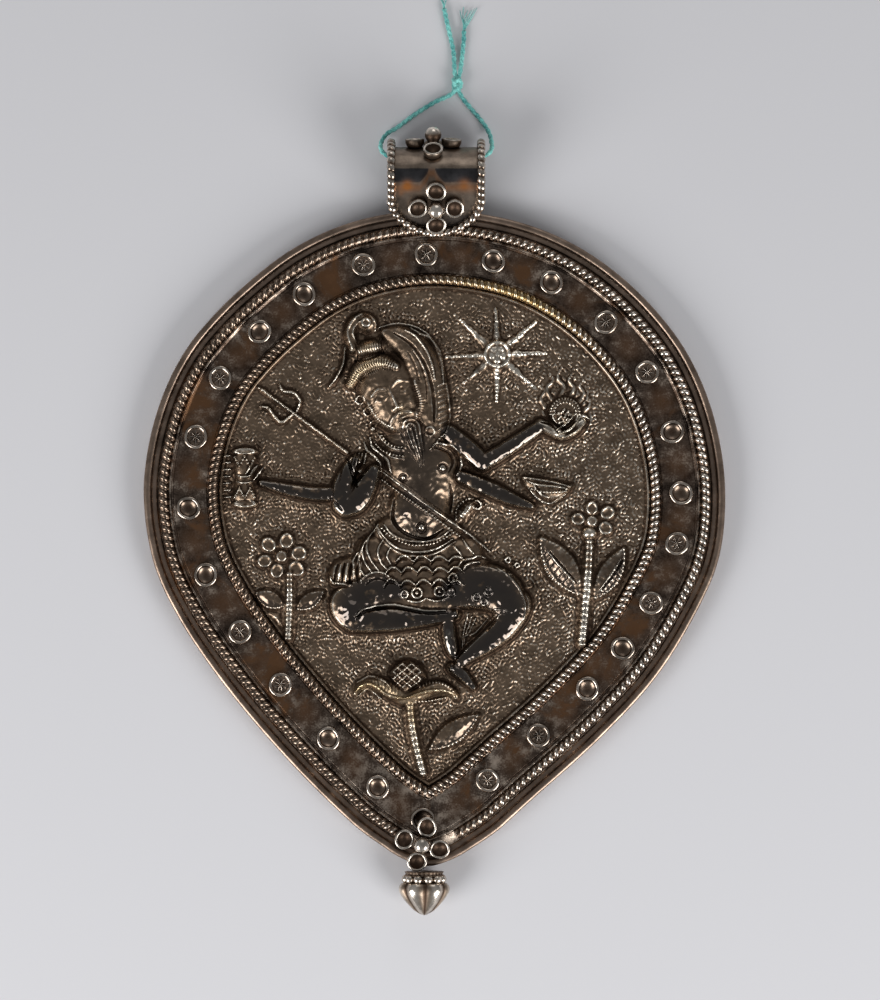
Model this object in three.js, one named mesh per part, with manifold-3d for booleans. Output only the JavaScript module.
// A deity pendant: a teardrop plaque of raised relief, framed by two wires and a row of collets,
// with a strap bail, three soldered rosettes, a bud finial and a loop of thread.
// Millimetres. It lies on its flat back: x runs to the right, y towards the bail, z up out of the front.
import * as THREE from 'three';
import { mergeVertices } from 'three/addons/utils/BufferGeometryUtils.js';
import Module from 'manifold-3d';

const wasm = await Module();
wasm.setup();

// Body outline, clockwise from under the bail.
const OUTLINE_TOP = 45.2;
const OUTLINE_TIP = [-1.1, -50.0];
const OUTLINE = [
  [0.0, OUTLINE_TOP], [7.0, 44.6], [14.5, 42.75], [21.3, 39.6], [27.2, 35.4], [32.1, 30.6], [36.2, 25.2],
  [39.3, 18.9], [41.4, 11.5], [42.2, 3.5], [41.2, -5.6], [37.5, -14.1], [32.0, -22.8], [23.9, -31.6],
  [14.1, -40.4], [7.3, -46.2], OUTLINE_TIP,
  [-8.9, -46.2], [-15.6, -40.4], [-24.1, -31.5], [-31.6, -22.3], [-37.3, -13.7], [-40.7, -6.2],
  [-42.2, 3.5], [-41.4, 11.5], [-39.2, 18.9], [-35.9, 25.2], [-31.5, 30.5], [-26.9, 34.8], [-21.0, 39.3],
  [-14.0, 42.75], [-7.0, 44.6],
];
const OUTLINE_SAMPLES = 480;
const LOOP_COUNT = 72;

// Sheets and filling, from the back up.
const BACK_THICKNESS = 0.5;
const LAC_THICKNESS = 1.5;
const BAND_THICKNESS = 0.6;
const PLAQUE_THICKNESS = 0.4;
const LAC_TOP = BACK_THICKNESS + LAC_THICKNESS;
const BAND_TOP = LAC_TOP + BAND_THICKNESS;
const GROUND = LAC_TOP + PLAQUE_THICKNESS;

// Frame, measured inwards from the outline.
const BACK_INSET = 0.15;
const RIM_WIDTH = 2.0;
const LIP_WIDTH = 1.07;
const LIP_HEIGHT = 2.55;
const VALLEY_DEPTH = 0.75;
const BAND_WIDTH = 8.9;
const SEAM = 0.05;
const SIDE_GAP = 0.3;
const OUTER_WIRE_WIDTH = 1.5;
const INNER_WIRE_WIDTH = 1.6;
const WIRE_HEIGHT = 1.15;
const WIRE_TIP_SKIP = 2;
const PLAQUE_EDGE_WIDTH = 0.55;
const PLAQUE_EDGE_HEIGHT = 0.45;
const CUTTING_HEIGHT = 12;
const BAND_OUTER = RIM_WIDTH + SEAM;
const BAND_INNER = RIM_WIDTH + BAND_WIDTH;
const PLAQUE_INSET = BAND_INNER + SEAM;
const OUTER_WIRE_INSET = BAND_OUTER + SEAM + OUTER_WIRE_WIDTH / 2;
const INNER_WIRE_INSET = BAND_INNER - SEAM - INNER_WIRE_WIDTH / 2;
const COLLET_INSET = (OUTER_WIRE_INSET + INNER_WIRE_INSET) / 2;

// Collets round the band: bearings from the body's middle, in degrees clockwise from the bail.
const BODY_MIDDLE = new THREE.Vector2(0, 3);
const COLLET_BEARINGS = [
  -2, 14, 28, 44, 59, 74, 88, 100, 115, 128, 141, 156, 169, 182,
  191, 204, 220, 236, 252, 268, 285, 300, 314, 328, 343,
];
const COLLET_RADIUS = 1.77;
const COLLET_BORE = 1.05;
const COLLET_HEIGHT = 1.05;
const COLLET_FLOOR = 0.35;
const COLLET_SIDES = 12;

// Rosettes of four cups round a granule on a peg.
const CUP_RADIUS = 1.45;
const CUP_HEIGHT = 1.2;
const CUP_WALL = 0.4;
const CUP_FLOOR = 0.3;
const CUP_SIDES = 12;
const BALL_RADIUS = 1.2;
const BALL_RISE = 1.75;
const PEG_RADIUS = 0.85;
const PETAL_REACH = PEG_RADIUS + CUP_RADIUS + 0.35;
const SEAT_GAP = 0.05;

// Bail: a strap loop whose front flap slopes down onto the outer wire.
const BAIL_X = 0.25;
const BAIL_WIDTH = 13.0;
const BAIL_THICKNESS = 0.6;
const BAIL_RADIUS = 3.9;
const BAIL_REACH = 4.8;
const FLAP_REACH = 3.7;
const FLAP_TAPER = 4.2;
const FLAP_POINT_POWER = 1.65;
const EDGE_WIRE_RADIUS = 0.62;
const BAIL_CENTRE = new THREE.Vector2(OUTLINE_TOP + BAIL_REACH, BAIL_THICKNESS / 2 + BAIL_RADIUS);
const FRONT_ROSETTE_Y = OUTLINE_TOP + 1.3;
const TOP_ROSETTE_X = -0.2;
const TOP_ROSETTE_ANGLE = THREE.MathUtils.degToRad(10);

// Finial below the tip: neck, ring of granules and bud, along -y.
const FINIAL_X = -1.5;
const FINIAL_FLATTENING = 0.8;
const FINIAL_SIDES = 20;
const NECK_RADIUS = 2.9;
const NECK_LENGTH = 1.3;
const GRANULE_RING_RADIUS = 3.2;
const GRANULE_RING_LENGTH = 1.0;
const BUD_RADIUS = 3.7;
const BUD_LENGTH = 4.8;
const FINIAL_CENTRE_Z = BUD_RADIUS * FINIAL_FLATTENING;
const TIP_ROSETTE = new THREE.Vector2(OUTLINE_TIP[0] - 0.7, OUTLINE_TIP[1] + 3.4);
const TIP_ROSETTE_TURN = THREE.MathUtils.degToRad(-16);

// Thread: its points are chosen by hand along the way it lies.
const THREAD_RADIUS = 0.35;
const THREAD_LOOP = [
  [2.5, 62.2, 0.6], [0.0, 61.0, 0.42], [-2.9, 59.2, 0.4], [-5.3, 57.4, 0.42], [-6.9, 56.4, 0.75],
  [-7.7, 55.2, 1.5], [-7.8, 54.2, 2.2], [-7.3, 53.35, 2.75], [-6.2, 53.0, 3.0], [-3.0, 53.0, 3.0],
  [0.2, 53.0, 3.0], [3.5, 53.0, 3.0], [6.7, 53.0, 3.0], [7.8, 53.35, 2.75], [8.3, 54.2, 2.2],
  [8.25, 55.3, 1.5], [7.9, 56.6, 0.75], [6.9, 58.2, 0.42], [5.2, 60.2, 0.4], [3.9, 61.9, 0.6],
];
const THREAD_TAIL_LEFT = [
  [2.95, 65.3, 0.7], [2.75, 68.4, 0.42], [2.25, 70.8, 0.4],
  [1.7, 73.2, 0.4], [1.2, 75.6, 0.4], [0.95, 77.0, 0.4],
];
const THREAD_TAIL_RIGHT = [
  [3.7, 65.3, 0.7], [4.0, 67.5, 0.42], [4.25, 70.0, 0.4],
  [4.3, 72.0, 0.4], [4.4, 73.6, 0.4], [4.6, 75.0, 0.4],
];
const THREAD_KNOT = new THREE.Vector3(3.25, 63.65, 0.85);
const KNOT_RADII = new THREE.Vector3(0.95, 1.35, 0.8);

const SILVER = 0x5c5148;
const DARK_SILVER = 0x3d352e;
const BRIGHT_SILVER = 0x8a8178;
const LAC = 0x3a2018;
const TURQUOISE = 0x4fb8b0;

function metal(color, roughness) {
  return new THREE.MeshStandardMaterial({ color, roughness, metalness: 0.9 });
}

const silver = metal(SILVER, 0.4);
const darkSilver = metal(DARK_SILVER, 0.45);
const brightSilver = metal(BRIGHT_SILVER, 0.3);
const lac = new THREE.MeshStandardMaterial({ color: LAC, roughness: 0.8, metalness: 0 });
const thread = new THREE.MeshStandardMaterial({ color: TURQUOISE, roughness: 0.85, metalness: 0 });

// Solids from triangles.

function meshFrom(vertices, triangles) {
  const geometry = new THREE.BufferGeometry();
  const flat = vertices.flatMap((p) => [p.x, p.y, p.z]);
  geometry.setAttribute('position', new THREE.Float32BufferAttribute(flat, 3));
  geometry.setIndex(triangles.flat());
  return facingOut(geometry);
}

function signedVolume(geometry) {
  const position = geometry.attributes.position;
  const index = geometry.index.array;
  const [a, b, c] = [new THREE.Vector3(), new THREE.Vector3(), new THREE.Vector3()];
  let volume = 0;
  for (let i = 0; i < index.length; i += 3) {
    a.fromBufferAttribute(position, index[i]);
    b.fromBufferAttribute(position, index[i + 1]);
    c.fromBufferAttribute(position, index[i + 2]);
    volume += a.dot(b.cross(c)) / 6;
  }
  return volume;
}

function facingOut(geometry) {
  if (signedVolume(geometry) < 0) {
    const index = geometry.index.array;
    for (let i = 0; i < index.length; i += 3) {
      [index[i + 1], index[i + 2]] = [index[i + 2], index[i + 1]];
    }
  }
  return geometry;
}

function toSolid(geometry) {
  const bare = geometry.clone();
  bare.deleteAttribute('normal');
  bare.deleteAttribute('uv');
  const merged = mergeVertices(bare, 1e-4);
  const index = merged.index.array;
  const kept = [];
  for (let i = 0; i < index.length; i += 3) {
    const [a, b, c] = [index[i], index[i + 1], index[i + 2]];
    if (a !== b && b !== c && c !== a) kept.push(a, b, c);
  }
  return new wasm.Manifold(new wasm.Mesh({
    numProp: 3,
    vertProperties: Float32Array.from(merged.attributes.position.array),
    triVerts: Uint32Array.from(kept),
  }));
}

function toGeometry(solid) {
  const mesh = solid.getMesh();
  const geometry = new THREE.BufferGeometry();
  geometry.setAttribute('position', new THREE.BufferAttribute(mesh.vertProperties, 3));
  geometry.setIndex(new THREE.BufferAttribute(mesh.triVerts, 1));
  geometry.computeVertexNormals();
  return geometry;
}

// Loops that run round the body at a steady distance inside its outline.

const outlineCurve = new THREE.CatmullRomCurve3(
  OUTLINE.map(([x, y]) => new THREE.Vector3(x, y, 0)), true, 'centripetal');
const edge = outlineCurve.getSpacedPoints(OUTLINE_SAMPLES).slice(0, OUTLINE_SAMPLES)
  .map((p) => new THREE.Vector2(p.x, p.y));
const edgeTip = edge.reduce((low, p, i) => (p.y < edge[low].y ? i : low), 0);

function movedIn(index, inset) {
  const before = edge[(index + OUTLINE_SAMPLES - 1) % OUTLINE_SAMPLES];
  const after = edge[(index + 1) % OUTLINE_SAMPLES];
  const along = after.clone().sub(before).normalize();
  return edge[index].clone().add(new THREE.Vector2(along.y, -along.x).multiplyScalar(inset));
}

function clearOfEdge(point, inset) {
  return edge.every((p) => p.distanceTo(point) > Math.abs(inset) - 0.02);
}

function crossing(a, b, c, d) {
  const ab = b.clone().sub(a);
  const cd = d.clone().sub(c);
  const share = c.clone().sub(a).cross(cd) / ab.cross(cd);
  return a.clone().addScaledVector(ab, share);
}

function evenlySpaced(points, count) {
  const curve = new THREE.CurvePath();
  for (let i = 1; i < points.length; i += 1) {
    curve.add(new THREE.LineCurve(points[i - 1], points[i]));
  }
  return curve.getSpacedPoints(count).slice(0, count);
}

// The corner at the tip stays sharp, as where two sides of a frame meet.
function insetLoop(inset, count = LOOP_COUNT) {
  const moved = edge.map((_, index) => movedIn(index, inset));
  const right = moved.slice(0, edgeTip).filter((p) => clearOfEdge(p, inset));
  const left = moved.slice(edgeTip + 1).filter((p) => clearOfEdge(p, inset));
  const whole = right.length + left.length === OUTLINE_SAMPLES - 1;
  const tip = whole ? moved[edgeTip] : crossing(right.at(-2), right.at(-1), left[1], left[0]);
  const half = count / 2;
  return [
    ...evenlySpaced([...right, tip], half),
    ...evenlySpaced([tip, ...left, right[0]], half),
  ];
}

function plateShape(inset) {
  return new THREE.Shape(insetLoop(inset));
}

function plate(inset, bottom, thickness) {
  const geometry = new THREE.ExtrudeGeometry(plateShape(inset), { depth: thickness, bevelEnabled: false });
  return geometry.translate(0, 0, bottom);
}

// A ring round the body with the section given as pairs of inset and height.
function ring(section, tipSkip = 0) {
  const loops = section.map(([inset, z]) => insetLoop(inset).map((p) => new THREE.Vector3(p.x, p.y, z)));
  const first = LOOP_COUNT / 2 + tipSkip;
  const steps = LOOP_COUNT - 2 * tipSkip;
  const stations = tipSkip ? steps + 1 : steps;
  const sides = section.length;
  const vertices = [];
  for (let j = 0; j < stations; j += 1) {
    loops.forEach((loop) => vertices.push(loop[(first + j) % LOOP_COUNT]));
  }
  const triangles = [];
  for (let j = 0; j < steps; j += 1) {
    const next = (j + 1) % stations;
    for (let i = 0; i < sides; i += 1) {
      const across = (i + 1) % sides;
      const [a, b, c, d] = [j * sides + i, j * sides + across, next * sides + across, next * sides + i];
      triangles.push([a, b, c], [a, c, d]);
    }
  }
  if (tipSkip) {
    for (let i = 1; i < sides - 1; i += 1) {
      const last = steps * sides;
      triangles.push([0, i + 1, i], [last, last + i, last + i + 1]);
    }
  }
  return meshFrom(vertices, triangles);
}

function domedWireSection(inset, width, bottom) {
  const half = width / 2;
  return [
    [inset - half, bottom], [inset - half, bottom + WIRE_HEIGHT * 0.35],
    [inset - half * 0.6, bottom + WIRE_HEIGHT * 0.85], [inset, bottom + WIRE_HEIGHT],
    [inset + half * 0.6, bottom + WIRE_HEIGHT * 0.85], [inset + half, bottom + WIRE_HEIGHT * 0.35],
    [inset + half, bottom],
  ];
}

function outerRim() {
  const top = BACK_THICKNESS + LIP_HEIGHT;
  const valley = top - VALLEY_DEPTH;
  return ring([
    [BACK_INSET, BACK_THICKNESS], [0, BACK_THICKNESS + LIP_HEIGHT * 0.4], [0, top - LIP_WIDTH * 0.4],
    [LIP_WIDTH * 0.3, top], [LIP_WIDTH * 0.7, top], [LIP_WIDTH, top - LIP_WIDTH * 0.4],
    [(LIP_WIDTH + RIM_WIDTH) / 2, valley], [RIM_WIDTH, valley], [RIM_WIDTH, BACK_THICKNESS],
  ]);
}

function frameBand() {
  return ring([[BAND_OUTER, LAC_TOP], [BAND_OUTER, BAND_TOP], [BAND_INNER, BAND_TOP], [BAND_INNER, LAC_TOP]]);
}

// Turned pieces, along +z from their seat.

function turned(profile, sides) {
  const points = profile.map(([radius, height]) => new THREE.Vector2(radius, height));
  return new THREE.LatheGeometry(points, sides).rotateX(Math.PI / 2);
}

function collet() {
  return turned([
    [0, 0], [COLLET_RADIUS, 0], [COLLET_RADIUS, COLLET_HEIGHT * 0.65],
    [(COLLET_RADIUS + COLLET_BORE) / 2, COLLET_HEIGHT], [COLLET_BORE, COLLET_HEIGHT * 0.75],
    [COLLET_BORE, COLLET_FLOOR], [0, COLLET_FLOOR],
  ], COLLET_SIDES);
}

function cup() {
  return turned([
    [0, 0], [CUP_RADIUS * 0.8, 0], [CUP_RADIUS, CUP_HEIGHT * 0.45], [CUP_RADIUS, CUP_HEIGHT * 0.9],
    [CUP_RADIUS - CUP_WALL / 2, CUP_HEIGHT], [CUP_RADIUS - CUP_WALL, CUP_HEIGHT * 0.8],
    [CUP_RADIUS - CUP_WALL, CUP_FLOOR * 1.5], [0, CUP_FLOOR],
  ], CUP_SIDES);
}

function granuleOnPeg() {
  const start = Math.asin(PEG_RADIUS / BALL_RADIUS);
  const ball = [];
  for (let i = 0; i <= 5; i += 1) {
    const angle = Math.PI - start - (i / 5) * (Math.PI - start);
    ball.push([BALL_RADIUS * Math.sin(angle), BALL_RISE + BALL_RADIUS * Math.cos(angle)]);
  }
  ball[ball.length - 1][0] = 0;
  return turned([[0, 0], [PEG_RADIUS, 0], ...ball], CUP_SIDES);
}

// A point of the loop that faces the given bearing from the body's middle.
function bearingPoint(loop, degrees) {
  const wanted = THREE.MathUtils.degToRad(degrees);
  const aim = new THREE.Vector2(Math.sin(wanted), Math.cos(wanted));
  const facing = (p) => p.clone().sub(BODY_MIDDLE).normalize().dot(aim);
  return loop.reduce((best, p) => (facing(p) > facing(best) ? p : best));
}

// Relief: each form swells out of the ground, thickest along its middle.

const CROWN = [[-1, 0], [-0.74, 0.72], [0, 1], [0.74, 0.72], [1, 0]];
const RELIEF_SINK = 0.2;

function withRoundEnds(stations) {
  const rounded = (end, inner) => {
    const [x, y, width, height] = end;
    const away = new THREE.Vector2(x - inner[0], y - inner[1]).normalize().multiplyScalar(width * 0.7);
    return [x + away.x, y + away.y, width * 0.6, height * 0.7];
  };
  return [rounded(stations[0], stations[1]), ...stations, rounded(stations.at(-1), stations.at(-2))];
}

// Stations are [x, y, half width, height].
function swell(stations, round = true) {
  const path = round ? withRoundEnds(stations) : stations;
  const vertices = [];
  path.forEach(([x, y, width, height], i) => {
    const before = path[Math.max(i - 1, 0)];
    const after = path[Math.min(i + 1, path.length - 1)];
    const along = new THREE.Vector2(after[0] - before[0], after[1] - before[1]).normalize();
    const side = new THREE.Vector2(-along.y, along.x).multiplyScalar(width);
    const at = (across, z) => new THREE.Vector3(x + side.x * across, y + side.y * across, z);
    CROWN.forEach(([across, rise]) => vertices.push(at(across, GROUND + rise * height)));
    vertices.push(at(1, GROUND - RELIEF_SINK), at(-1, GROUND - RELIEF_SINK));
  });
  const sides = CROWN.length + 2;
  const triangles = [];
  for (let j = 0; j < path.length - 1; j += 1) {
    for (let i = 0; i < sides; i += 1) {
      const across = (i + 1) % sides;
      const [a, b] = [j * sides + i, j * sides + across];
      triangles.push([a, b, b + sides], [a, b + sides, a + sides]);
    }
  }
  const last = (path.length - 1) * sides;
  for (let i = 1; i < sides - 1; i += 1) {
    triangles.push([0, i + 1, i], [last, last + i, last + i + 1]);
  }
  return toSolid(meshFrom(vertices, triangles));
}

// A half egg: x, y, half width, half length, height and turn in degrees.
function dome(x, y, width, length, height, turn = 0, sides = 10) {
  const egg = new THREE.SphereGeometry(1, sides, 6).rotateX(Math.PI / 2);
  egg.scale(width, length, height);
  egg.rotateZ(THREE.MathUtils.degToRad(turn));
  return toSolid(egg.translate(x, y, GROUND));
}

function head() {
  return [
    dome(-6.5, 17.7, 3.9, 5.5, 3.7, 27, 14),
    dome(-7.6, 20.6, 4.5, 4.2, 3.2, 27),
    dome(-9.5, 25.2, 2.1, 1.6, 2.8, 10),
    dome(-10.2, 28.9, 1.2, 1.4, 1.7),
    swell([[-4.7, 13.3, 2.4, 2.9], [-3.3, 10.9, 1.8, 2.9], [-2.2, 8.6, 1.0, 3.1], [-2.0, 7.4, 0.4, 3.0]]),
    swell([
      [-12.0, 25.6, 0.6, 0.9], [-12.8, 27.8, 0.7, 1.2], [-12.0, 29.9, 0.7, 1.2], [-10.4, 30.4, 0.6, 1.0],
    ]),
  ];
}

function scarf() {
  return [
    swell([
      [-7.9, 27.9, 0.9, 1.0], [-4.4, 28.2, 1.0, 1.3], [-1.5, 26.8, 1.0, 1.4], [0.4, 24.3, 1.0, 1.4],
      [1.4, 21.4, 0.9, 1.2], [2.1, 18.2, 1.0, 1.4], [1.8, 14.7, 1.2, 1.6], [0.5, 11.2, 1.0, 1.5],
    ]),
    swell([[-1.4, 23.4, 1.2, 1.6], [0.2, 19.9, 1.3, 1.9], [0.4, 16.5, 1.3, 2.0], [-0.4, 13.3, 1.2, 1.7]]),
    swell([
      [-15.2, 19.8, 0.3, 0.7], [-13.6, 22.0, 0.4, 0.9], [-12.8, 24.9, 0.4, 0.9], [-13.1, 27.2, 0.4, 0.9],
    ]),
  ];
}

function torso() {
  return [
    swell([
      [-3.3, 11.8, 2.9, 2.2], [-2.1, 8.6, 5.2, 2.9], [-1.5, 6.0, 4.6, 2.8], [-2.0, 3.6, 4.2, 2.6],
      [-2.4, 0.8, 4.6, 3.0], [-2.4, -1.5, 3.8, 2.3], [-2.2, -3.0, 1.7, 1.4],
    ], false),
    swell([
      [-8.8, 8.0, 0.6, 3.0], [-5.0, 5.4, 0.6, 3.2], [-0.7, 2.2, 0.6, 3.3], [3.4, -0.9, 0.5, 1.8],
      [6.6, -3.4, 0.4, 0.9],
    ]),
    swell([[3.1, -0.4, 0.4, 1.2], [4.0, 1.7, 0.9, 1.6], [5.7, 2.7, 0.9, 1.5], [6.7, 2.5, 0.4, 1.0]]),
  ];
}

function skirt() {
  return [
    swell([
      [-2.7, -0.4, 5.8, 1.6], [-3.0, -3.8, 7.8, 1.9], [-2.1, -7.3, 9.6, 2.1], [-1.5, -10.2, 9.6, 2.0],
      [-0.9, -12.0, 6.4, 1.4],
    ], false),
    swell([[-12.0, -5.6, 1.3, 1.0], [-13.7, -7.6, 1.7, 1.7], [-14.3, -9.1, 1.2, 1.2]]),
  ];
}

function arms() {
  return [
    swell([[-8.2, 7.5, 1.3, 2.8], [-9.6, 4.6, 1.6, 3.2], [-12.0, 2.1, 1.7, 3.3], [-13.2, 2.2, 1.4, 3.1]]),
    swell([[-13.7, 2.4, 1.2, 3.0], [-13.7, 5.0, 1.2, 2.8], [-12.7, 8.0, 1.0, 2.4], [-11.9, 9.0, 0.8, 2.2]]),
    dome(-10.8, 9.2, 1.2, 1.3, 2.3),
    swell([[-14.6, 4.3, 1.2, 1.9], [-18.8, 4.4, 1.2, 1.9], [-22.4, 5.3, 0.9, 1.7], [-25.0, 6.7, 0.8, 1.5]]),
    swell([[2.5, 12.1, 1.2, 2.0], [4.6, 9.5, 1.3, 2.3], [6.6, 7.8, 1.3, 2.6]]),
    swell([
      [6.6, 7.8, 1.2, 2.6], [9.5, 9.4, 1.2, 2.5], [12.4, 11.2, 1.1, 2.3], [15.0, 13.1, 0.9, 2.1],
      [16.7, 13.8, 1.2, 2.1], [18.3, 13.3, 1.0, 1.7],
    ]),
    swell([
      [3.1, 6.9, 1.0, 1.8], [6.9, 5.4, 1.0, 1.9], [10.9, 4.0, 0.9, 1.8], [14.9, 2.7, 0.8, 1.7],
      [17.0, 3.1, 0.6, 1.3],
    ]),
  ];
}

function legs() {
  return [
    swell([
      [-5.3, -9.4, 2.0, 2.4], [-9.6, -9.9, 2.6, 3.0], [-12.3, -11.5, 2.6, 3.3], [-12.6, -13.6, 2.1, 3.0],
    ]),
    swell([
      [-12.3, -14.1, 2.0, 3.0], [-7.9, -14.3, 1.9, 3.0], [-3.3, -13.8, 1.6, 2.6], [0.8, -13.3, 1.2, 2.3],
      [3.0, -13.1, 1.0, 2.3],
    ]),
    swell([[2.4, -14.3, 1.0, 1.9], [2.5, -17.2, 1.0, 2.1], [2.2, -19.0, 0.6, 1.2]]),
    swell([[2.5, -9.4, 2.0, 2.3], [6.3, -8.9, 2.9, 3.0], [9.8, -10.2, 3.0, 3.3], [11.4, -12.3, 2.5, 3.2]]),
    swell([
      [11.8, -13.1, 2.3, 3.2], [10.1, -15.4, 2.0, 3.0], [7.3, -17.9, 1.4, 2.5], [4.6, -20.1, 1.0, 2.1],
      [2.8, -21.1, 0.9, 1.8],
    ]),
    swell([[2.2, -21.4, 1.0, 2.1], [4.0, -22.4, 0.9, 1.8], [5.6, -23.9, 0.6, 1.4]]),
  ];
}

function drumAndTrident() {
  return [
    swell([
      [-27.5, 10.2, 1.6, 1.2], [-27.5, 9.4, 1.7, 1.7], [-27.5, 6.3, 1.3, 1.5], [-27.5, 3.4, 1.7, 1.7],
      [-27.5, 2.4, 1.6, 1.2],
    ], false),
    swell([[-25.0, 19.1, 0.4, 0.8], [-19.5, 15.0, 0.4, 1.0], [-12.3, 9.5, 0.4, 1.1]]),
    swell([
      [-25.3, 16.7, 0.2, 0.6], [-24.1, 16.3, 0.4, 0.9], [-22.8, 14.9, 0.4, 1.0], [-21.7, 14.3, 0.4, 0.9],
      [-20.2, 15.6, 0.3, 0.8],
    ]),
    swell([
      [-22.5, 20.2, 0.2, 0.6], [-21.7, 18.8, 0.4, 0.9], [-20.1, 18.2, 0.4, 1.0], [-19.5, 17.0, 0.4, 0.9],
      [-20.4, 16.0, 0.3, 0.8],
    ]),
  ];
}

function cupAndFire() {
  const tongues = [[15.4, 18.6], [16.4, 20.6], [18.7, 22.3], [20.8, 20.9], [22.2, 18.6]];
  const bowl = [18.9, 15.7];
  return [
    swell([
      [12.3, 5.4, 0.3, 0.8], [13.8, 4.9, 1.0, 1.7], [16.2, 4.4, 1.3, 2.1], [18.3, 4.7, 1.0, 1.7],
      [20.1, 5.1, 0.3, 0.8],
    ]),
    dome(bowl[0], bowl[1], 2.3, 2.3, 1.9),
    ...tongues.map(([x, y]) => swell([
      [bowl[0] + (x - bowl[0]) * 0.5, bowl[1] + (y - bowl[1]) * 0.5, 0.7, 0.9], [x, y, 0.3, 0.5],
    ], false)),
  ];
}

function star() {
  const centre = [9.35, 24.3];
  const tips = [
    [9.1, 30.4], [4.4, 29.1], [1.9, 24.0], [4.1, 20.2], [9.1, 17.6], [14.0, 19.6], [16.5, 24.4], [14.1, 28.2],
  ];
  const rays = tips.map(([x, y]) => swell([[centre[0], centre[1], 0.9, 1.0], [x, y, 0.12, 0.3]], false));
  return [dome(centre[0], centre[1], 2.0, 2.0, 1.3), ...rays];
}

function flower(centre, petals, radius) {
  return [
    dome(centre[0], centre[1], radius * 0.9, radius * 0.9, 1.1, 0, 8),
    ...petals.map(([x, y]) => {
      const turn = THREE.MathUtils.radToDeg(Math.atan2(y - centre[1], x - centre[0])) - 90;
      return dome((x + centre[0]) / 2, (y + centre[1]) / 2, radius, radius * 1.9, 0.9, turn, 8);
    }),
  ];
}

function leftPlant() {
  const petals = [[-24.4, -3.0], [-21.2, -2.2], [-19.3, -4.2], [-19.5, -6.9], [-23.1, -7.6], [-25.2, -5.8]];
  return [
    ...flower([-22.1, -5.0], petals, 0.8),
    swell([
      [-21.0, -6.6, 0.6, 1.0], [-21.0, -9.9, 0.7, 1.2], [-21.1, -13.6, 0.6, 1.2], [-21.2, -17.2, 0.3, 0.7],
    ]),
    swell([
      [-22.1, -13.1, 0.3, 0.7], [-23.6, -12.0, 1.2, 1.4], [-25.0, -10.5, 1.0, 1.2], [-25.8, -9.7, 0.3, 0.6],
    ], false),
    swell([
      [-20.1, -13.0, 0.3, 0.7], [-18.9, -12.0, 0.9, 1.3], [-17.5, -10.9, 0.9, 1.2], [-16.2, -10.4, 0.3, 0.6],
    ], false),
  ];
}

function rightPlant() {
  return [
    ...flower([22.8, 0.1], [[22.8, 2.9], [20.0, 0.0], [25.6, 1.9], [25.5, -1.5]], 0.8),
    dome(22.5, -2.6, 0.9, 1.2, 1.6, 0, 8),
    swell([[22.4, -3.6, 0.7, 1.3], [22.3, -7.8, 0.9, 1.4], [21.8, -12.8, 0.7, 1.3], [21.4, -17.9, 0.3, 0.7]]),
    swell([
      [21.0, -10.5, 0.3, 0.8], [19.6, -8.3, 1.6, 1.9], [17.8, -5.9, 1.9, 2.0], [16.2, -3.7, 1.2, 1.5],
      [15.3, -2.5, 0.3, 0.7],
    ], false),
    swell([
      [23.1, -11.1, 0.3, 0.8], [24.1, -9.1, 1.3, 1.7], [25.7, -7.0, 1.6, 1.8], [26.9, -5.3, 1.0, 1.4],
      [27.6, -4.1, 0.3, 0.6],
    ], false),
  ];
}

function lotus() {
  return [
    dome(-4.0, -22.5, 2.7, 2.1, 2.4),
    swell([
      [-3.9, -25.4, 0.9, 1.6], [-7.0, -24.6, 1.2, 1.9], [-9.6, -24.1, 1.0, 1.8], [-11.1, -25.2, 0.4, 1.0],
    ]),
    swell([[-4.1, -25.4, 0.9, 1.6], [-1.2, -24.7, 1.0, 1.8], [1.2, -24.4, 1.0, 1.7], [3.0, -25.5, 0.4, 1.0]]),
    swell([
      [-3.7, -25.9, 0.7, 1.3], [-3.4, -28.8, 0.8, 1.4], [-2.5, -32.4, 0.7, 1.3], [-1.7, -36.6, 0.4, 0.8],
    ]),
    swell([
      [-0.7, -33.1, 0.3, 0.7], [1.1, -32.0, 1.3, 1.5], [3.4, -30.1, 1.6, 1.7], [5.1, -28.6, 0.9, 1.3],
      [6.3, -27.9, 0.3, 0.6],
    ], false),
  ];
}

function repoussePlaque() {
  const forms = [
    ...head(), ...scarf(), ...torso(), ...skirt(), ...arms(), ...legs(), ...drumAndTrident(),
    ...cupAndFire(), ...star(), ...leftPlant(), ...rightPlant(), ...lotus(),
  ];
  const relief = wasm.Manifold.union(forms);
  const above = toSolid(plate(PLAQUE_INSET, GROUND - RELIEF_SINK, CUTTING_HEIGHT));
  const sheet = toSolid(plate(PLAQUE_INSET, LAC_TOP, PLAQUE_THICKNESS));
  const inner = PLAQUE_INSET + PLAQUE_EDGE_WIDTH;
  const edgeRidge = toSolid(ring([
    [PLAQUE_INSET, GROUND - RELIEF_SINK], [PLAQUE_INSET, GROUND + PLAQUE_EDGE_HEIGHT],
    [inner, GROUND + PLAQUE_EDGE_HEIGHT], [inner, GROUND - RELIEF_SINK],
  ]));
  return toGeometry(sheet.add(edgeRidge).add(relief.intersect(above)));
}

// Bail, drawn in the plane of y and z.

const halfStrap = BAIL_THICKNESS / 2;
const flapEnd = new THREE.Vector2(
  OUTLINE_TOP - FLAP_REACH, BAND_TOP + WIRE_HEIGHT + SEAT_GAP + halfStrap * 1.2);
const flapSpan = BAIL_CENTRE.distanceTo(flapEnd);
const flapSlope = Math.atan2(BAIL_CENTRE.y - flapEnd.y, BAIL_CENTRE.x - flapEnd.x)
  + Math.asin(BAIL_RADIUS / flapSpan);
const flapLength = Math.sqrt(flapSpan ** 2 - BAIL_RADIUS ** 2);

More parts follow.
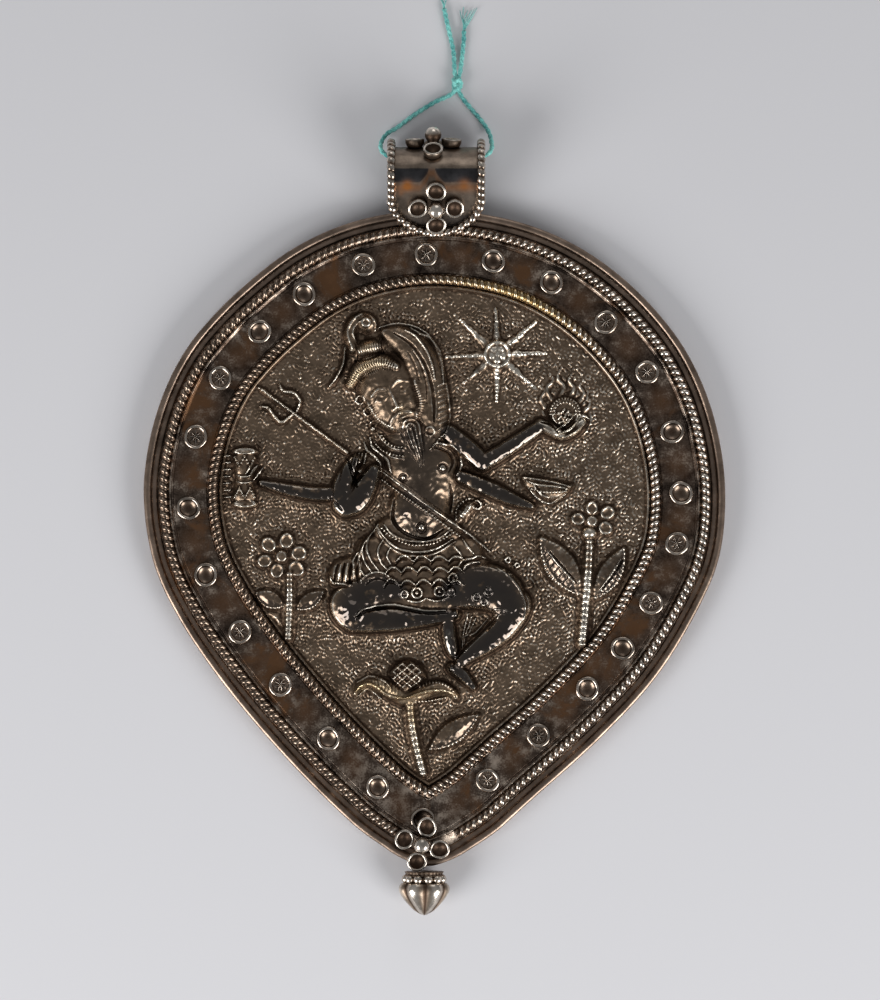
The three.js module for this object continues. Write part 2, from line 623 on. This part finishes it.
// Centre line of the strap, moved out by the given distance, as points [y, z].
function strapLine(out) {
  const radius = BAIL_RADIUS + out;
  const points = [new THREE.Vector2(OUTLINE_TOP + SIDE_GAP, BAIL_CENTRE.y - radius)];
  const turn = Math.PI + flapSlope;
  const steps = 16;
  for (let i = 0; i <= steps; i += 1) {
    const angle = -Math.PI / 2 + (turn * i) / steps;
    points.push(new THREE.Vector2(Math.cos(angle), Math.sin(angle)).multiplyScalar(radius).add(BAIL_CENTRE));
  }
  const away = new THREE.Vector2(-Math.cos(flapSlope), -Math.sin(flapSlope)).multiplyScalar(flapLength);
  points.push(points.at(-1).clone().add(away));
  return points;
}

function flapHalfWidth(share) {
  return (BAIL_WIDTH / 2) * (1 - share ** FLAP_POINT_POWER) ** (1 / FLAP_POINT_POWER);
}

function flapPlan() {
  const half = BAIL_WIDTH / 2;
  const far = BAIL_CENTRE.x + 2 * BAIL_RADIUS;
  const right = [];
  const left = [];
  for (let i = 0; i <= 10; i += 1) {
    const share = Math.sin((i / 10) * Math.PI / 2);
    const y = flapEnd.x + FLAP_TAPER * (1 - share);
    right.push(new THREE.Vector2(BAIL_X + flapHalfWidth(share), y));
    if (i < 10) left.unshift(new THREE.Vector2(BAIL_X - flapHalfWidth(share), y));
  }
  return new THREE.Shape([
    new THREE.Vector2(BAIL_X - half, far), new THREE.Vector2(BAIL_X + half, far), ...right, ...left,
  ]);
}

function bailStrap() {
  const shape = new THREE.Shape([...strapLine(halfStrap), ...strapLine(-halfStrap).reverse()]);
  const strip = new THREE.ExtrudeGeometry(shape, { depth: BAIL_WIDTH + 2, bevelEnabled: false });
  const turn = new THREE.Matrix4().makeBasis(
    new THREE.Vector3(0, 1, 0), new THREE.Vector3(0, 0, 1), new THREE.Vector3(1, 0, 0));
  strip.applyMatrix4(turn).translate(BAIL_X - BAIL_WIDTH / 2 - 1, 0, 0);
  const plan = new THREE.ExtrudeGeometry(flapPlan(), { depth: 20, bevelEnabled: false }).translate(0, 0, -1);
  return toGeometry(toSolid(strip).intersect(toSolid(plan)));
}

function tube(points, radius, sides, steps) {
  const circle = new THREE.Shape();
  circle.absarc(0, 0, radius, 0, 2 * Math.PI, false);
  const outline = circle.getSpacedPoints(sides).slice(0, sides);
  const extrudePath = new THREE.CatmullRomCurve3(points, false, 'centripetal');
  return new THREE.ExtrudeGeometry(new THREE.Shape(outline), { steps, bevelEnabled: false, extrudePath });
}

function edgeWirePoints() {
  const out = halfStrap + EDGE_WIRE_RADIUS + SEAT_GAP;
  const line = strapLine(out);
  const half = BAIL_WIDTH / 2;
  const foot = line.at(-1);
  const taperTop = flapEnd.x + FLAP_TAPER;
  const side = line.slice(0, -1).filter((p) => p.y > EDGE_WIRE_RADIUS + SEAT_GAP && p.x > taperTop + 0.5);
  const surface = (y) => foot.y + (y - foot.x) * Math.tan(flapSlope);
  const left = side.map((p) => new THREE.Vector3(BAIL_X - half, p.x, p.y));
  const right = side.map((p) => new THREE.Vector3(BAIL_X + half, p.x, p.y)).reverse();
  const end = [];
  for (let i = 0; i <= 12; i += 1) {
    const angle = (i / 12) * Math.PI;
    const share = Math.sin(angle) ** 0.9;
    const y = flapEnd.x + FLAP_TAPER * (1 - share) + 0.1;
    const across = Math.sign(-Math.cos(angle)) * flapHalfWidth(share);
    end.push(new THREE.Vector3(BAIL_X + across, y, surface(y)));
  }
  return [...left, ...end, ...right];
}

// The assembly.

const pendant = new THREE.Group();

function add(name, geometry, material, parent = pendant) {
  const mesh = new THREE.Mesh(geometry, material);
  mesh.name = name;
  parent.add(mesh);
  return mesh;
}

add('back_plate', plate(BACK_INSET, 0, BACK_THICKNESS), darkSilver);
add('lac_filling', plate(RIM_WIDTH + SIDE_GAP, BACK_THICKNESS, LAC_THICKNESS), lac);
add('outer_rim', outerRim(), silver);
add('frame_band', frameBand(), darkSilver);
add('repousse_plaque', repoussePlaque(), silver);
const outerWire = domedWireSection(OUTER_WIRE_INSET, OUTER_WIRE_WIDTH, BAND_TOP);
const innerWire = domedWireSection(INNER_WIRE_INSET, INNER_WIRE_WIDTH, BAND_TOP);
add('outer_beaded_wire', ring(outerWire, WIRE_TIP_SKIP), brightSilver);
add('inner_beaded_wire', ring(innerWire), brightSilver);

const colletLoop = insetLoop(COLLET_INSET, LOOP_COUNT * 8);
COLLET_BEARINGS.forEach((degrees, i) => {
  const place = bearingPoint(colletLoop, degrees);
  const name = `collet_${String(i + 1).padStart(2, '0')}`;
  add(name, collet(), brightSilver).position.set(place.x, place.y, BAND_TOP);
});

add('bail_strap', bailStrap(), silver);
add('bail_edge_wire', tube(edgeWirePoints(), EDGE_WIRE_RADIUS, 8, 72), brightSilver);

function seat(x, y, z, tilt, turn = 0) {
  const group = new THREE.Group();
  group.position.set(x, y, z);
  group.rotation.set(tilt, 0, turn);
  pendant.add(group);
  return group;
}

const seatRise = halfStrap + SEAT_GAP;
const frontBase = flapEnd.y + (FRONT_ROSETTE_Y - flapEnd.x) * Math.tan(flapSlope);
const frontY = FRONT_ROSETTE_Y - seatRise * Math.sin(flapSlope);
const front = seat(BAIL_X, frontY, frontBase + seatRise * Math.cos(flapSlope), flapSlope);
const petalPlaces = { top: [0, 1], right: [1, 0], bottom: [0, -1], left: [-1, 0] };
Object.entries(petalPlaces).forEach(([side, [x, y]]) => {
  add(`front_petal_${side}`, cup(), silver, front).position.set(x * PETAL_REACH, y * PETAL_REACH, 0);
});
add('front_granule', granuleOnPeg(), brightSilver, front);

// On the loop's crest each cup stands square to the strap at its own angle.
const petalAngle = PETAL_REACH / (BAIL_RADIUS + seatRise);
function seatOnLoop(x, angle) {
  const out = new THREE.Vector2(Math.cos(angle), Math.sin(angle)).multiplyScalar(BAIL_RADIUS + seatRise);
  return seat(x, BAIL_CENTRE.x + out.x, BAIL_CENTRE.y + out.y, angle - Math.PI / 2);
}
Object.entries(petalPlaces).forEach(([side, [x, y]]) => {
  const group = seatOnLoop(TOP_ROSETTE_X + x * PETAL_REACH, TOP_ROSETTE_ANGLE - y * petalAngle);
  add(`crest_petal_${side}`, cup(), silver, group);
});
add('crest_granule', granuleOnPeg(), brightSilver, seatOnLoop(TOP_ROSETTE_X, TOP_ROSETTE_ANGLE));

// The tip rosette leans from the last collet down to the lip.
const tipHigh = BAND_TOP + COLLET_HEIGHT + SEAT_GAP;
const tipLow = BACK_THICKNESS + LIP_HEIGHT + SEAT_GAP;
const tipTilt = Math.atan2(tipHigh - tipLow, 2 * PETAL_REACH);
const tip = seat(TIP_ROSETTE.x, TIP_ROSETTE.y, (tipHigh + tipLow) / 2 + SEAT_GAP, tipTilt);
const turnedTip = new THREE.Group();
turnedTip.rotation.z = TIP_ROSETTE_TURN;
tip.add(turnedTip);
Object.entries(petalPlaces).forEach(([side, [x, y]]) => {
  add(`tip_petal_${side}`, cup(), silver, turnedTip).position.set(x * PETAL_REACH, y * PETAL_REACH, 0);
});
add('tip_granule', granuleOnPeg(), brightSilver, turnedTip);

// Turned along -y from the given start, and flattened.
function finialPiece(profile, start, sides) {
  const geometry = turned(profile, sides).rotateX(Math.PI / 2).scale(1, 1, FINIAL_FLATTENING);
  return geometry.translate(FINIAL_X, start, FINIAL_CENTRE_Z);
}

// The neck is hollowed to fit round the tip of the body and the petal that overhangs it.
function finialNeck(petal) {
  const start = OUTLINE_TIP[1] + 1;
  const length = NECK_LENGTH + 1;
  const barrel = toSolid(finialPiece([
    [0, 0], [NECK_RADIUS, 0], [NECK_RADIUS * 0.94, length * 0.7], [NECK_RADIUS, length], [0, length],
  ], start, FINIAL_SIDES));
  const bodySpace = toSolid(plate(-SIDE_GAP, -1, CUTTING_HEIGHT));
  const reach = CUP_RADIUS + SIDE_GAP;
  const petalSpace = new THREE.CylinderGeometry(reach, reach, 4 * CUP_HEIGHT, CUP_SIDES).rotateX(Math.PI / 2);
  petalSpace.translate(0, 0, 2 * CUP_HEIGHT - SIDE_GAP);
  petal.updateWorldMatrix(true, false);
  petalSpace.applyMatrix4(petal.matrixWorld);
  return toGeometry(barrel.subtract(bodySpace).subtract(toSolid(petalSpace)));
}

const ringStart = OUTLINE_TIP[1] - NECK_LENGTH;
const budStart = ringStart - GRANULE_RING_LENGTH;
add('finial_neck', finialNeck(pendant.getObjectByName('tip_petal_bottom')), silver);
add('finial_granule_ring', finialPiece([
  [0, 0], [GRANULE_RING_RADIUS * 0.88, 0], [GRANULE_RING_RADIUS, GRANULE_RING_LENGTH * 0.35],
  [GRANULE_RING_RADIUS, GRANULE_RING_LENGTH * 0.65], [GRANULE_RING_RADIUS * 0.88, GRANULE_RING_LENGTH],
  [0, GRANULE_RING_LENGTH],
], ringStart, FINIAL_SIDES), brightSilver);
add('finial_bud', finialPiece([
  [0, 0], [BUD_RADIUS * 0.8, 0], [BUD_RADIUS, BUD_LENGTH * 0.16], [BUD_RADIUS * 0.98, BUD_LENGTH * 0.3],
  [BUD_RADIUS * 0.72, BUD_LENGTH * 0.6], [BUD_RADIUS * 0.3, BUD_LENGTH * 0.9], [0, BUD_LENGTH],
], budStart, FINIAL_SIDES), silver);

const along = (points) => points.map(([x, y, z]) => new THREE.Vector3(x, y, z));
add('thread_loop', tube(along(THREAD_LOOP), THREAD_RADIUS, 8, 30), thread);
add('thread_tail_left', tube(along(THREAD_TAIL_LEFT), THREAD_RADIUS, 8, 7), thread);
add('thread_tail_right', tube(along(THREAD_TAIL_RIGHT), THREAD_RADIUS, 8, 6), thread);
const knot = new THREE.SphereGeometry(1, 12, 8).scale(KNOT_RADII.x, KNOT_RADII.y, KNOT_RADII.z);
add('thread_knot', knot, thread).position.copy(THREAD_KNOT);

export default pendant;
